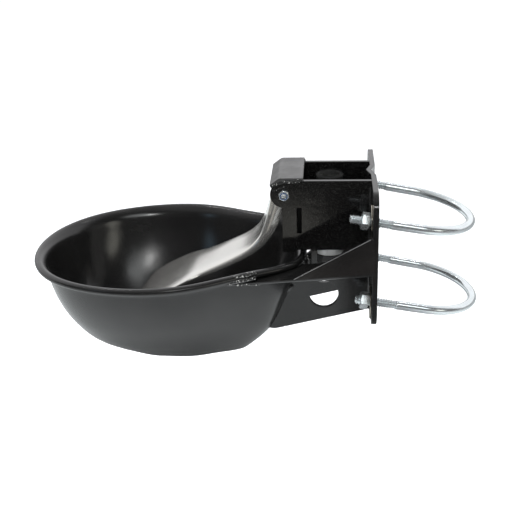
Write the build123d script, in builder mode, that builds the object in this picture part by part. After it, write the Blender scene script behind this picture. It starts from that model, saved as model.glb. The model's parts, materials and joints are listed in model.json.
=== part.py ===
from build123d import *
import math
import os

os.makedirs("parts", exist_ok=True)

# ---------------------------------------------------------------------------
# Cattle drinking bowl with a tongue-operated valve, clamped to an upright
# post with two U-bolts.  Millimetres.
#   +X  out of the rear of the back plate, towards the post
#   -X  towards the bowl's front
#   +Z  up
#   origin: centre of the post groove on the back plate's rear face, midway
#           between the two U-bolts
# Shop dimensions are taken from the front face of the back plate (dx) and
# from its bottom edge (dz).
# ---------------------------------------------------------------------------

# back plate
plate_t = 4.5
plate_w = 147.2
plate_h = 117.2
plate_r = 15.7
groove_half = 13.0
groove_rise = 3.8
clamp_lo = 16.2
clamp_hi = 88.1
slot_len = 20.0
slot_w = 10.5

face_x = -plate_t
base_z = -(clamp_lo + clamp_hi) / 2


def dx(v):
    return face_x + v


def dz(v):
    return base_z + v


# U-bolts: M8 rod, formed for a 3 inch (88.9 mm) post
rod_r = 4.0
loop_r = 48.55
leg_toe = 2.4
leg_len = 58.3
u_droop = 10.0
u_centre_hi = 39.5
u_centre_lo = 44.9
nut_af = 13.0
nut_t = 6.5
washer_r = 15.0
washer_t = 1.2

# casing side plates
side_t = 4.0
side_out = 29.0
casing_top = 116.5
casing_low = 54.4
hinge_x = -73.2
hinge_z = 104.6
ear_r = 11.8
pin_r = 2.5

# valve
valve_z = 77.0
tee_x = -35.0
inlet_r = 9.3
inlet_len = 12.5
inlet_top = 97.0
seat_r = 7.6
seat_deep = 1.4
plug_r = 8.6

# bowl
wall_t = 2.5
rim_z0 = 47.3
rim_x0 = -168.6
rim_tilt = 1.29
bowl_cx = -184.0

# ---------------------------------------------------------------------------
# BOWL: deep-drawn egg-shaped bowl with a flat back and an outward-rolled rim
# ---------------------------------------------------------------------------
# centreline of the rolled rim, half outline from the front tip to the back
rim_half = [
    (-294.5, 0.0), (-291.3, 26.1), (-281.7, 50.4), (-266.0, 70.7), (-245.7, 85.6),
    (-223.5, 95.0), (-201.1, 99.9), (-179.2, 101.0), (-158.3, 97.9), (-139.2, 90.7),
    (-121.7, 81.2), (-107.1, 73.3), (-90.6, 65.4), (-75.8, 58.0), (-65.0, 49.0),
    (-59.2, 36.5), (-58.3, 19.0), (-58.3, 0.0),
]
rim_loop = rim_half + [(x, -y) for x, y in rim_half[-2:0:-1]]

# depth below the rim plane, front scale, width scale, rear scale (outer skin)
sections = [
    (0.0, 0.960, 0.955, 0.965),
    (6.0, 0.954, 0.937, 0.960),
    (13.0, 0.946, 0.914, 0.951),
    (25.0, 0.928, 0.868, 0.926),
    (40.0, 0.891, 0.796, 0.879),
    (55.0, 0.828, 0.707, 0.832),
    (68.0, 0.746, 0.611, 0.787),
    (80.0, 0.628, 0.505, 0.712),
    (90.0, 0.446, 0.383, 0.630),
    (97.0, 0.301, 0.298, 0.572),
]


def rim_plane(depth):
    """Plane parallel to the rim, depth mm below the rim's mid height."""
    a = math.radians(rim_tilt)
    n = (-math.sin(a), 0.0, math.cos(a))
    ox, oz = dx(rim_x0), dz(rim_z0)
    return Plane(
        origin=(ox - n[0] * depth, 0, oz - n[2] * depth),
        x_dir=(math.cos(a), 0, math.sin(a)),
        z_dir=n,
    )


def loop_points(f_front, f_side, f_rear, grow=0.0):
    """Rim outline scaled about the widest station, moved in or out by grow."""
    pts = []
    n = len(rim_loop)
    for i, (x, y) in enumerate(rim_loop):
        xa, ya = rim_loop[i - 1]
        xb, yb = rim_loop[(i + 1) % n]
        tx, ty = xb - xa, yb - ya
        ln = math.hypot(tx, ty)
        nx, ny = -ty / ln, tx / ln
        u = x - bowl_cx
        u = u * (f_front if u < 0 else f_rear)
        pts.append((bowl_cx + u + nx * grow - rim_x0, y * f_side + ny * grow))
    return pts


def bowl_solid(inset, lid):
    """Lofted body of the bowl, its skin moved in by inset, top raised by lid."""
    with BuildPart() as body:
        rows = list(sections)
        for i, (d, ff, fs, fr) in enumerate(rows):
            depth = d
            if i == 0:
                depth = d - lid
            if i == len(rows) - 1:
                depth = d - inset
            with BuildSketch(rim_plane(depth)):
                with BuildLine():
                    Spline(*loop_points(ff, fs, fr, -inset), periodic=True)
                make_face()
        loft()
    return body.part


outer_skin = bowl_solid(0.0, 0.0)
inner_skin = bowl_solid(wall_t, 6.0)

with BuildPart() as rim_ring:
    with BuildSketch(rim_plane(3.0)):
        with BuildLine():
            Spline(*loop_points(1, 1, 1, 4.0), periodic=True)
        make_face()
    extrude(amount=6.0)
    outer_edges = rim_ring.edges().filter_by(lambda e: e.length > 300)
    fillet(outer_edges, 2.9)

with BuildPart() as bowl:
    add(outer_skin)
    add(rim_ring.part)
    add(inner_skin, mode=Mode.SUBTRACT)
bowl.part.label = "bowl"

# ---------------------------------------------------------------------------
# BACK PLATE with the pressed post groove and four clamp slots
# ---------------------------------------------------------------------------
with BuildPart() as back_plate:
    with BuildSketch(Plane.XY.offset(dz(0))):
        with BuildLine():
            Polyline(
                (dx(0), -plate_w / 2), (dx(0), -groove_half), (dx(-groove_rise), 0),
                (dx(0), groove_half), (dx(0), plate_w / 2), (0, plate_w / 2),
                (0, groove_half + 1.5), (-groove_rise, 0), (0, -groove_half - 1.5),
                (0, -plate_w / 2), (dx(0), -plate_w / 2),
            )
        make_face()
    extrude(amount=plate_h)
    with BuildSketch(Plane(origin=(dx(-20), 0, dz(plate_h / 2)), x_dir=(0, 1, 0), z_dir=(1, 0, 0))):
        RectangleRounded(plate_w, plate_h, plate_r)
    extrude(amount=40, mode=Mode.INTERSECT)
    with BuildSketch(Plane(origin=(dx(-20), 0, 0), x_dir=(0, 1, 0), z_dir=(1, 0, 0))):
        with Locations(
            (-50.2, dz(clamp_lo)), (50.2, dz(clamp_lo)),
            (-50.2, dz(clamp_hi)), (50.2, dz(clamp_hi)),
        ):
            SlotOverall(slot_len, slot_w)
    extrude(amount=40, mode=Mode.SUBTRACT)
back_plate.part.label = "back_plate"

# ---------------------------------------------------------------------------
# CASING: two side plates with hinge ears, and the bent cap plate over them
# ---------------------------------------------------------------------------
with BuildPart() as cap_plate:
    with BuildSketch(Plane(origin=(0, 30, 0), x_dir=(1, 0, 0), z_dir=(0, -1, 0))):
        with BuildLine():
            Polyline(
                (dx(-57.0), dz(116.55)), (dx(-57.0), dz(119.3)), (dx(-77.4), dz(119.3)),
                (dx(-85.4), dz(113.2)), (dx(-83.8), dz(111.0)), (dx(-76.5), dz(116.55)),
                (dx(-57.0), dz(116.55)),
            )
        make_face()
    extrude(amount=60)
    fillet(
        cap_plate.edges().filter_by(Axis.Y).group_by(Axis.Z)[-1].sort_by(Axis.X)[0], 6.0
    )
cap_plate.part.label = "cap_plate"

tab_x0, tab_x1 = -62.8, -58.4
tab_z0, tab_z1 = 69.7, 92.8


def side_plate(y_in):
    """Casing side plate, its inner face at y_in for the left, mirrored right."""
    with BuildPart() as sp:
        with BuildSketch(Plane(origin=(0, y_in, 0), x_dir=(1, 0, 0), z_dir=(0, -1, 0))):
            with BuildLine():
                Polyline(
                    (dx(0), dz(casing_low)), (dx(0), dz(casing_top)),
                    (dx(hinge_x), dz(casing_top)), (dx(hinge_x), dz(hinge_z)),
                    (dx(-74.9), dz(hinge_z)), (dx(-74.9), dz(40.5)),
                    (dx(-70.0), dz(40.5)), (dx(-64.5), dz(50.0)),
                    (dx(-64.5), dz(casing_low)), (dx(0), dz(casing_low)),
                )
            make_face()
            with Locations((dx(hinge_x), dz(hinge_z))):
                Circle(ear_r)
            with Locations((dx(hinge_x), dz(hinge_z))):
                Circle(pin_r + 0.05, mode=Mode.SUBTRACT)
            with Locations((dx((tab_x0 + tab_x1) / 2), dz((tab_z0 + tab_z1) / 2))):
                Rectangle(tab_x1 - tab_x0, tab_z1 - tab_z0, mode=Mode.SUBTRACT)
        extrude(amount=side_t)
        add(outer_skin, mode=Mode.SUBTRACT)
        add(rim_ring.part, mode=Mode.SUBTRACT)
        add(cap_plate.part, mode=Mode.SUBTRACT)
    return sp.part


with BuildPart() as side_plate_near:
    add(side_plate(-(side_out - side_t)))
side_plate_near.part.label = "side_plate_right"
with BuildPart() as side_plate_far:
    add(side_plate(side_out))
side_plate_far.part.label = "side_plate_left"

# ---------------------------------------------------------------------------
# WINGS: bent sheet arms from the back plate's edges to the flanks of the bowl
# ---------------------------------------------------------------------------
wing_t = 3.0
wing_out = 76.7
wing_slope = 4.5
wing_z0 = 49.8


def wing(side):
    a = math.radians(wing_slope)
    shelf = Plane(
        origin=(dx(0), 0, dz(wing_z0)),
        x_dir=(math.cos(a), 0, math.sin(a)),
        z_dir=(-math.sin(a), 0, math.cos(a)),
    )
    with BuildPart() as wp:
        # shelf
        with BuildSketch(shelf):
            with BuildLine():
                Polyline(
                    (0.0, side * 46.0), (0.0, side * wing_out), (-119.0, side * wing_out),
                    (-119.0, side * 68.0), (-100.0, side * 56.0), (-64.0, side * 46.0),
                    (0.0, side * 46.0),
                )
            make_face()
        extrude(amount=wing_t)
        # upturned triangular flange, lapped a little over the plate's edge
        y_start = side * (wing_out - wing_t)
        with BuildSketch(Plane(origin=(0, y_start, 0), x_dir=(1, 0, 0), z_dir=(0, -1, 0))):
            with BuildLine():
                Polyline(
                    (dx(1.5), dz(49.92)), (dx(1.5), dz(82.8)), (dx(-2.0), dz(82.8)),
                    (dx(-66.5), dz(46.4)), (dx(-66.5), dz(44.57)), (dx(1.5), dz(49.92)),
                )
            make_face()
        extrude(amount=-side * wing_t)
        low = wp.edges().filter_by(lambda e: e.length > 60 and abs(e.center().Y) > wing_out - 0.1)
        low = low.sort_by(lambda e: e.center().Z)[0]
        fillet(low, 2.6)
        add(outer_skin, mode=Mode.SUBTRACT)
        add(rim_ring.part, mode=Mode.SUBTRACT)
    return wp.part


with BuildPart() as wing_right:
    add(wing(-1).solids().sort_by(SortBy.VOLUME)[-1])
wing_right.part.label = "wing_right"
with BuildPart() as wing_left:
    add(wing(1).solids().sort_by(SortBy.VOLUME)[-1])
wing_left.part.label = "wing_left"

# ---------------------------------------------------------------------------
# STRUTS: two upright plates from the back plate to the bowl's rear, below
# ---------------------------------------------------------------------------
strut_out = 28.2
strut_t = 4.0
hole_x, hole_z, hole_r = -39.9, 12.4, 12.8


def strut(y_in):
    with BuildPart() as st:
        with BuildSketch(Plane(origin=(0, y_in, 0), x_dir=(1, 0, 0), z_dir=(0, -1, 0))):
            with BuildLine():
                Polyline(
                    (dx(0), dz(-1.6)), (dx(0), dz(42.4)), (dx(-45.3), dz(42.4)),
                    (dx(-45.3), dz(casing_low)), (dx(-50.5), dz(casing_low)),
                    (dx(-50.5), dz(32.3)), (dx(-57.0), dz(27.0)), (dx(-72.0), dz(27.0)), (dx(-84.0), dz(10.0)),
                    (dx(-96.0), dz(-20.0)), (dx(-84.0), dz(-21.9)), (dx(-78.8), dz(-20.9)),
                    (dx(0), dz(-1.6)),
                )
            make_face()
            with Locations((dx(hole_x), dz(hole_z))):
                Circle(hole_r, mode=Mode.SUBTRACT)
        extrude(amount=strut_t)
        add(outer_skin, mode=Mode.SUBTRACT)
    return st.part.solids().sort_by(SortBy.VOLUME)[-1]


with BuildPart() as strut_right:
    add(strut(-(strut_out - strut_t)))
strut_right.part.label = "strut_right"
with BuildPart() as strut_left:
    add(strut(strut_out))
strut_left.part.label = "strut_left"

# ---------------------------------------------------------------------------
# U-BOLTS, nuts and washers
# ---------------------------------------------------------------------------
droop = math.radians(u_droop)


def u_plane(h):
    """Plane of a U-bolt: local x along its legs, local y across."""
    return Plane(
        origin=(dx(0), 0, dz(h)),
        x_dir=(math.cos(droop), 0, -math.sin(droop)),
        z_dir=(math.sin(droop), 0, math.cos(droop)),
    )


def u_bolt(h, centre):
    toe = math.radians(leg_toe)
    x1 = centre + loop_r * math.sin(toe)
    y1 = loop_r * math.cos(toe)
    xe = centre - leg_len
    ye = y1 + (x1 - xe) * math.tan(toe)
    pl = u_plane(h)
    with BuildPart() as ub:
        with BuildLine(pl) as path:
            Line((xe, ye), (x1, y1))
            CenterArc((centre, 0), loop_r, 90 - leg_toe, -(180 - 2 * leg_toe))
            Line((x1, -y1), (xe, -ye))
        with BuildSketch(Plane(origin=path.line @ 0, z_dir=path.line % 0)):
            Circle(rod_r)
        sweep(transition=Transition.ROUND)
    return ub.part


with BuildPart() as u_bolt_upper:
    add(u_bolt(clamp_hi, u_centre_hi))
u_bolt_upper.part.label = "u_bolt_upper"
with BuildPart() as u_bolt_lower:
    add(u_bolt(clamp_lo, u_centre_lo))
u_bolt_lower.part.label = "u_bolt_lower"


def leg_frame(h, side, centre, s):
    """Frame on a leg's axis, s mm in front of the plate face; z along the leg."""
    toe = math.radians(leg_toe)
    x1 = centre + loop_r * math.sin(toe)
    y1 = loop_r * math.cos(toe)
    pl = u_plane(h)
    y = y1 + (x1 + s) * math.tan(toe)
    o = pl.from_local_coords((-s, side * y, 0))
    d = pl.x_dir * -math.cos(toe) + Vector(0, side * math.sin(toe), 0)
    return Plane(origin=o, z_dir=d, x_dir=pl.z_dir)


legs = [(h, s, c) for h, c in ((clamp_hi, u_centre_hi), (clamp_lo, u_centre_lo)) for s in (-1, 1)]
nut_gap = washer_t + (nut_af / 2 / math.cos(math.pi / 6)) * math.tan(droop) + 0.05

with BuildPart() as clamp_nuts:
    for h, s, c in legs:
        with BuildSketch(leg_frame(h, s, c, nut_gap)):
            RegularPolygon(nut_af / 2, 6, major_radius=False)
            Circle(rod_r + 0.03, mode=Mode.SUBTRACT)
        extrude(amount=nut_t)
clamp_nuts.part.label = "clamp_nuts"

with BuildPart() as clamp_washers:
    for h, s, c in legs:
        o = leg_frame(h, s, c, washer_t / 2).origin
        with BuildSketch(Plane(origin=(dx(0), o.Y, o.Z), x_dir=(0, 1, 0), z_dir=(-1, 0, 0))):
            Circle(washer_r)
            Circle(4.6, mode=Mode.SUBTRACT)
        extrude(amount=washer_t)
clamp_washers.part.label = "clamp_washers"

# ---------------------------------------------------------------------------
# TONGUE: stainless flap, channel-shaped at the hinge, flat paddle at the tip
# ---------------------------------------------------------------------------
tongue_t = 2.0
tongue_prof = [
    (-84.3, 100.6), (-88.3, 84.6), (-91.4, 74.5), (-95.2, 65.3), (-101.4, 57.2),
    (-109.5, 50.9), (-120.5, 45.0), (-136.0, 37.4), (-150.5, 30.3), (-167.0, 23.2),
    (-181.0, 17.6), (-192.5, 11.4), (-202.5, 4.0), (-211.0, -5.0), (-217.5, -12.0),
]


def shifted(profile, off):
    """Profile moved sideways by off, to the right of its direction."""
    out = []
    for i, (x, z) in enumerate(profile):
        xa, za = profile[max(i - 1, 0)]
        xb, zb = profile[min(i + 1, len(profile) - 1)]
        tx, tz = xb - xa, zb - za
        ln = math.hypot(tx, tz)
        out.append((x - tz / ln * off, z + tx / ln * off))
    return out


top_pts = [(dx(x), dz(z)) for x, z in tongue_prof]
low_pts = [(dx(x), dz(z)) for x, z in shifted(tongue_prof, tongue_t)]
tongue_half = 23.5
paddle_half = 35.4

with BuildPart() as tongue:
    # web, thickness cut from a wide strip to the flap's outline
    with BuildSketch(Plane(origin=(0, 40, 0), x_dir=(1, 0, 0), z_dir=(0, -1, 0))):
        with BuildLine():
            Spline(*top_pts)
            Line(top_pts[-1], low_pts[-1])
            Spline(*low_pts)
            Line(low_pts[0], top_pts[0])
        make_face()
    extrude(amount=80)
    with BuildSketch(Plane.XY.offset(dz(-20))):
        with BuildLine():
            hw, pw = tongue_half, paddle_half
            Line((dx(-60), -hw), (dx(-60), hw))
            Line((dx(-60), hw), (dx(-116), hw))
            Spline(
                (dx(-116), hw), (dx(-147), 27.3), (dx(-168), pw),
                tangents=((-1, 0), (-1, 0)),
            )
            Line((dx(-168), pw), (dx(-196), pw))
            Spline(
                (dx(-196), pw), (dx(-208.5), 29.5), (dx(-216.0), 0),
                (dx(-208.5), -29.5), (dx(-196), -pw),
                tangents=((-1, 0), (1, 0)),
            )
            Line((dx(-196), -pw), (dx(-168), -pw))
            Spline(
                (dx(-168), -pw), (dx(-147), -27.3), (dx(-116), -hw),
                tangents=((1, 0), (1, 0)),
            )
            Line((dx(-116), -hw), (dx(-60), -hw))
        make_face()
    extrude(amount=200, mode=Mode.INTERSECT)
    # side flanges, deepest at the hinge and running out along the web
    for y in (tongue_half, -tongue_half + tongue_t):
        with BuildSketch(Plane(origin=(0, y, 0), x_dir=(1, 0, 0), z_dir=(0, -1, 0))):
            with BuildLine():
                Polyline(
                    (dx(-84.6), dz(99.4)), (dx(-80.2), dz(109.0)), (dx(-73.2), dz(111.8)),
                    (dx(-66.4), dz(107.5)), (dx(-66.0), dz(101.4)), (dx(-75.4), dz(84.6)),
                    (dx(-84.0), dz(69.6)), (dx(-90.0), dz(60.6)), (dx(-98.6), dz(51.3)),
                    (dx(-116.8), dz(40.6)), (dx(-132.0), dz(34.6)), (dx(-146.0), dz(28.0)),
                    (dx(-157.5), dz(24.6)), (dx(-157.2), dz(26.4)), (dx(-150.0), dz(29.4)),
                    (dx(-135.7), dz(36.4)), (dx(-120.2), dz(44.0)), (dx(-109.0), dz(50.1)),
                    (dx(-100.8), dz(56.4)), (dx(-94.4), dz(64.8)), (dx(-90.5), dz(74.2)),
                    (dx(-87.3), dz(84.4)), (dx(-84.6), dz(99.4)),
                )
            make_face()
        extrude(amount=tongue_t)
    with BuildSketch(Plane(origin=(0, 40, 0), x_dir=(1, 0, 0), z_dir=(0, -1, 0))):
        with Locations((dx(hinge_x), dz(hinge_z))):
            Circle(4.03)
    extrude(amount=80, mode=Mode.SUBTRACT)
tongue.part.label = "tongue"

# ---------------------------------------------------------------------------
# HINGE: M5 bolt, spacer tube, side washers, lock nut with its ring
# ---------------------------------------------------------------------------
pin_plane_far = Plane(origin=(dx(hinge_x), side_out, dz(hinge_z)), x_dir=(1, 0, 0), z_dir=(0, 1, 0))
pin_plane_near = Plane(origin=(dx(hinge_x), -side_out, dz(hinge_z)), x_dir=(1, 0, 0), z_dir=(0, -1, 0))

with BuildPart() as hinge_bolt:
    with BuildSketch(pin_plane_far):
        RegularPolygon(4.0, 6, major_radius=False)
    extrude(amount=3.5)
    with BuildSketch(pin_plane_far):
        Circle(pin_r)
    extrude(amount=-(2 * side_out + 6.4))
    chamfer(hinge_bolt.edges().group_by(Axis.Y)[0], 0.6)
hinge_bolt.part.label = "hinge_bolt"

with BuildPart() as hinge_nut:
    with BuildSketch(pin_plane_near):
        RegularPolygon(4.0, 6, major_radius=False, rotation=10)
    extrude(amount=3.8)
    with BuildSketch(pin_plane_near.offset(3.8)):
        Circle(3.9)
    extrude(amount=1.3)
    with BuildSketch(pin_plane_near):
        Circle(pin_r + 0.03)
    extrude(amount=6.0, mode=Mode.SUBTRACT)
    with BuildSketch(pin_plane_near.offset(3.6)):
        Circle(3.4)
    extrude(amount=3.0, mode=Mode.SUBTRACT)
hinge_nut.part.label = "hinge_nut"

with BuildPart() as hinge_nut_ring:
    with BuildSketch(pin_plane_near.offset(3.6)):
        Circle(3.4)
        Circle(pin_r + 0.03, mode=Mode.SUBTRACT)
    extrude(amount=1.2)
hinge_nut_ring.part.label = "hinge_nut_ring"

with BuildPart() as hinge_spacer:
    with BuildSketch(Plane(origin=(dx(hinge_x), side_out - side_t, dz(hinge_z)), x_dir=(1, 0, 0), z_dir=(0, -1, 0))):
        Circle(4.0)
        Circle(pin_r + 0.03, mode=Mode.SUBTRACT)
    extrude(amount=2 * (side_out - side_t))
hinge_spacer.part.label = "hinge_spacer"

with BuildPart() as hinge_washers:
    for y in (side_out - side_t - 0.05, -tongue_half - 0.25):
        with BuildSketch(Plane(origin=(dx(hinge_x), y, dz(hinge_z)), x_dir=(1, 0, 0), z_dir=(0, -1, 0))):
            Circle(7.0)
            Circle(4.03, mode=Mode.SUBTRACT)
        extrude(amount=1.2)
hinge_washers.part.label = "hinge_washers"

# ---------------------------------------------------------------------------
# VALVE: carrier plate, brass tee body, seat, stem, spring, plugs, strainer
# ---------------------------------------------------------------------------
carrier_x0 = -62.6
carrier_x1 = -58.6


def on_x(v, z=valve_z):
    """Plane across the valve axis at shop station v, facing +X."""
    return Plane(origin=(dx(v), 0, dz(z)), x_dir=(0, 1, 0), z_dir=(1, 0, 0))


with BuildPart() as valve_carrier:
    with BuildSketch(on_x(carrier_x0)):
        with Locations((0, 2.0)):
            Rectangle(2 * (side_out - side_t), 38)
        with Locations((0, 4.2)):
            Rectangle(2 * (side_out - 2.4), 22.6)
        Circle(8.2, mode=Mode.SUBTRACT)
    extrude(amount=carrier_x1 - carrier_x0)
valve_carrier.part.label = "valve_carrier"

chamber_r = 7.0
with BuildPart() as valve_body:
    with BuildSketch(on_x(carrier_x1)):
        Circle(11.0)
    extrude(amount=38.6)
    with BuildSketch(on_x(-70.5)):
        Circle(8.0)
    extrude(amount=14.0)
    with BuildSketch(Plane.XY.offset(dz(42.0))):
        with Locations((dx(tee_x), 0)):
            Circle(12.5)
    extrude(amount=inlet_top - 42.0)
    # snout bore and chamber
    with BuildSketch(on_x(-70.5)):
        Circle(5.0)
    extrude(amount=20.0, mode=Mode.SUBTRACT)
    with BuildSketch(on_x(-52.5)):
        Circle(chamber_r)
    extrude(amount=40.0, mode=Mode.SUBTRACT)
    # top inlet, through port, bottom port
    with BuildSketch(Plane.XY.offset(dz(inlet_top))):
        with Locations((dx(tee_x), 0)):
            Circle(inlet_r)
    extrude(amount=-inlet_len, mode=Mode.SUBTRACT)
    with BuildSketch(Plane.XY.offset(dz(inlet_top - inlet_len))):
        with Locations((dx(tee_x), 0)):
            Circle(seat_r)
    extrude(amount=-seat_deep, mode=Mode.SUBTRACT)
    with BuildSketch(Plane.XY.offset(dz(inlet_top - 5.0))):
        with Locations((dx(tee_x), 0)):
            Circle(6.0)
    extrude(amount=-42.0, mode=Mode.SUBTRACT)
    with BuildSketch(Plane.XY.offset(dz(42.0))):
        with Locations((dx(tee_x), 0)):
            Circle(plug_r)
    extrude(amount=14.0, mode=Mode.SUBTRACT)
valve_body.part.label = "valve_body"

with BuildPart() as valve_lock_nut:
    with BuildSketch(on_x(carrier_x0 - 5.0)):
        RegularPolygon(11.0, 6, major_radius=False)
        Circle(8.02, mode=Mode.SUBTRACT)
    extrude(amount=5.0)
valve_lock_nut.part.label = "valve_lock_nut"

with BuildPart() as valve_seat:
    with BuildSketch(on_x(-52.5)):
        Circle(chamber_r)
        Circle(3.9, mode=Mode.SUBTRACT)
    extrude(amount=3.0)
    with BuildSketch(on_x(-49.5)):
        Circle(4.8)
        Circle(3.9, mode=Mode.SUBTRACT)
    extrude(amount=1.2)
valve_seat.part.label = "valve_seat"

with BuildPart() as stem_guide:
    with BuildSketch(on_x(-70.5)):
        Circle(4.98)
        Circle(2.55, mode=Mode.SUBTRACT)
        with PolarLocations(3.8, 6):
            Circle(0.75, mode=Mode.SUBTRACT)
    extrude(amount=6.0)
stem_guide.part.label = "stem_guide"

stem_tip = -86.7
with BuildPart() as valve_stem:
    with BuildSketch(on_x(stem_tip)):
        Circle(4.5)
    extrude(amount=2.5)
    with BuildSketch(on_x(stem_tip + 1.0)):
        Circle(2.5)
    extrude(amount=42.1)
    with BuildSketch(on_x(-46.6)):
        Circle(5.4)
    extrude(amount=2.2)
    fillet(valve_stem.edges().group_by(Axis.X)[0], 1.2)
valve_stem.part.label = "valve_stem"

with BuildPart() as stem_seal:
    with BuildSketch(on_x(-48.3)):
        Circle(5.4)
        Circle(2.5, mode=Mode.SUBTRACT)
    extrude(amount=1.7)
stem_seal.part.label = "stem_seal"

spring_x0, spring_len, coils = -43.7, 17.6, 5.0
spring_r, wire_r = 4.4, 0.5
with BuildPart() as valve_spring:
    with BuildLine() as coil:
        Helix(
            pitch=spring_len / coils, height=spring_len, radius=spring_r,
            center=(dx(spring_x0), 0, dz(valve_z)), direction=(1, 0, 0),
        )
    with BuildSketch(Plane(origin=coil.line @ 0, z_dir=coil.line % 0)):
        Circle(wire_r)
    sweep(path=coil.line, is_frenet=True)
valve_spring.part.label = "valve_spring"

with BuildPart() as spring_cap:
    with BuildSketch(on_x(-24.9)):
        Circle(chamber_r - 0.02)
    extrude(amount=5.0)
    with BuildSketch(on_x(-19.0)):
        RegularPolygon(9.5, 6, major_radius=False)
    extrude(amount=6.0)
    with BuildSketch(on_x(-20.0)):
        Circle(chamber_r - 0.02)
    extrude(amount=1.5)
spring_cap.part.label = "spring_cap"

with BuildPart() as spring_cap_gasket:
    with BuildSketch(on_x(-20.0)):
        Circle(10.5)
        Circle(chamber_r, mode=Mode.SUBTRACT)
    extrude(amount=1.0)
spring_cap_gasket.part.label = "spring_cap_gasket"

strainer_z = inlet_top - inlet_len - seat_deep
with BuildPart() as inlet_strainer:
    with BuildSketch(Plane.XY.offset(dz(strainer_z))):
        with Locations((dx(tee_x), 0)):
            Circle(seat_r - 0.1)
            Circle(4.9, mode=Mode.SUBTRACT)
    extrude(amount=1.0)
    with BuildSketch(Plane.XY.offset(dz(strainer_z - 0.3))):
        with Locations((dx(tee_x), 0)):
            Circle(5.8)
            Circle(4.9, mode=Mode.SUBTRACT)
    extrude(amount=0.3)
    with BuildSketch(Plane.XY.offset(dz(strainer_z - 0.8))):
        with Locations((dx(tee_x), 0)):
            Circle(5.8)
            with PolarLocations(3.4, 6):
                Circle(1.0, mode=Mode.SUBTRACT)
            Circle(1.0, mode=Mode.SUBTRACT)
    extrude(amount=0.6)
inlet_strainer.part.label = "inlet_strainer"

with BuildPart() as bottom_plug:
    with BuildSketch(Plane.XY.offset(dz(41.0))):
        with Locations((dx(tee_x), 0)):
            Circle(plug_r - 0.02)
    extrude(amount=11.0)
    with BuildSketch(Plane.XY.offset(dz(31.0))):
        with Locations((dx(tee_x), 0)):
            RegularPolygon(11.0, 6, major_radius=False)
    extrude(amount=10.0)
bottom_plug.part.label = "bottom_plug"

with BuildPart() as plug_gasket:
    with BuildSketch(Plane.XY.offset(dz(41.0))):
        with Locations((dx(tee_x), 0)):
            Circle(12.0)
            Circle(plug_r, mode=Mode.SUBTRACT)
    extrude(amount=1.0)
plug_gasket.part.label = "plug_gasket"

# ---------------------------------------------------------------------------
pieces = [
    bowl, back_plate, side_plate_near, side_plate_far, cap_plate, wing_right, wing_left,
    strut_right, strut_left, u_bolt_upper, u_bolt_lower, clamp_nuts, clamp_washers,
    tongue, hinge_bolt, hinge_nut, hinge_nut_ring, hinge_spacer, hinge_washers,
    valve_carrier, valve_body, valve_lock_nut, valve_seat, stem_guide, valve_stem,
    stem_seal, valve_spring, spring_cap, spring_cap_gasket, inlet_strainer,
    bottom_plug, plug_gasket,
]
for piece in pieces:
    export_step(piece.part, "parts/" + piece.part.label + ".step")
    print(piece.part.label, round(piece.part.volume, 1), len(piece.part.solids()))
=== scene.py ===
import json
import math

import bmesh
import bpy
import numpy as np
from mathutils import Matrix, Vector

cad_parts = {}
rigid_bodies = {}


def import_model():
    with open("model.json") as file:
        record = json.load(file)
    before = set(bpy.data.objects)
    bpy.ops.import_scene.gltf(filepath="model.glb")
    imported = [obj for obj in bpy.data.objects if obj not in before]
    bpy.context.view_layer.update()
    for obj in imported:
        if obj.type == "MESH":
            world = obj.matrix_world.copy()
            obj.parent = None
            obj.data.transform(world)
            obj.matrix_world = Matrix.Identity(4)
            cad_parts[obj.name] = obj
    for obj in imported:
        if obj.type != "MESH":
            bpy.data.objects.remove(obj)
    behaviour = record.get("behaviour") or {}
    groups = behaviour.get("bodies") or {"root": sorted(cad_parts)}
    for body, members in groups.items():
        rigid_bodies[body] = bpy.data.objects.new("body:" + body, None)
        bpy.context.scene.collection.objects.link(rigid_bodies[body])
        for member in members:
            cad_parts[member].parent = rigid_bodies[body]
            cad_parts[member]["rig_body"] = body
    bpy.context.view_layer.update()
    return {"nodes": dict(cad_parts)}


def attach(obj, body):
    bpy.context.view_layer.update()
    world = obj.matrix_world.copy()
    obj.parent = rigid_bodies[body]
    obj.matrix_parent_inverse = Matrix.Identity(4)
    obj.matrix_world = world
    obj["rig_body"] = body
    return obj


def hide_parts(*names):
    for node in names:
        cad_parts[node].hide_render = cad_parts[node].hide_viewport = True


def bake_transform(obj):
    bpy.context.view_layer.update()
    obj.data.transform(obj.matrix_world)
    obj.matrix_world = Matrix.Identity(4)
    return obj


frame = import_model()
NODES = frame["nodes"]
scene = bpy.context.scene

# ---------------------------------------------------------------------------
# shop coordinates: x from the back plate's front face, z from its lower edge
# ---------------------------------------------------------------------------
BASE_Z = (16.2 + 88.1) / 2


def P(x, y, z):
    return Vector(((x - 4.5) / 1000.0, y / 1000.0, (z - BASE_Z) / 1000.0))


def V3(x, y, z):
    return np.array([(x - 4.5) / 1000.0, y / 1000.0, (z - BASE_Z) / 1000.0])


# ---------------------------------------------------------------------------
# materials
# ---------------------------------------------------------------------------
def nodes_of(name):
    m = bpy.data.materials.new(name)
    m.use_nodes = True
    nt = m.node_tree
    b = nt.nodes["Principled BSDF"]
    return m, nt, b


def add(nt, kind, **vals):
    n = nt.nodes.new(kind)
    for k, v in vals.items():
        if k.startswith("_"):
            setattr(n, k[1:], v)
        else:
            n.inputs[k.replace("__", " ")].default_value = v
    return n


def noise(nt, vec, scale, detail=3.0, rough=0.5, distort=0.0):
    n = add(nt, "ShaderNodeTexNoise", Scale=scale, Detail=detail, Roughness=rough, Distortion=distort)
    nt.links.new(vec, n.inputs["Vector"])
    return n.outputs["Fac"]


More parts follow.
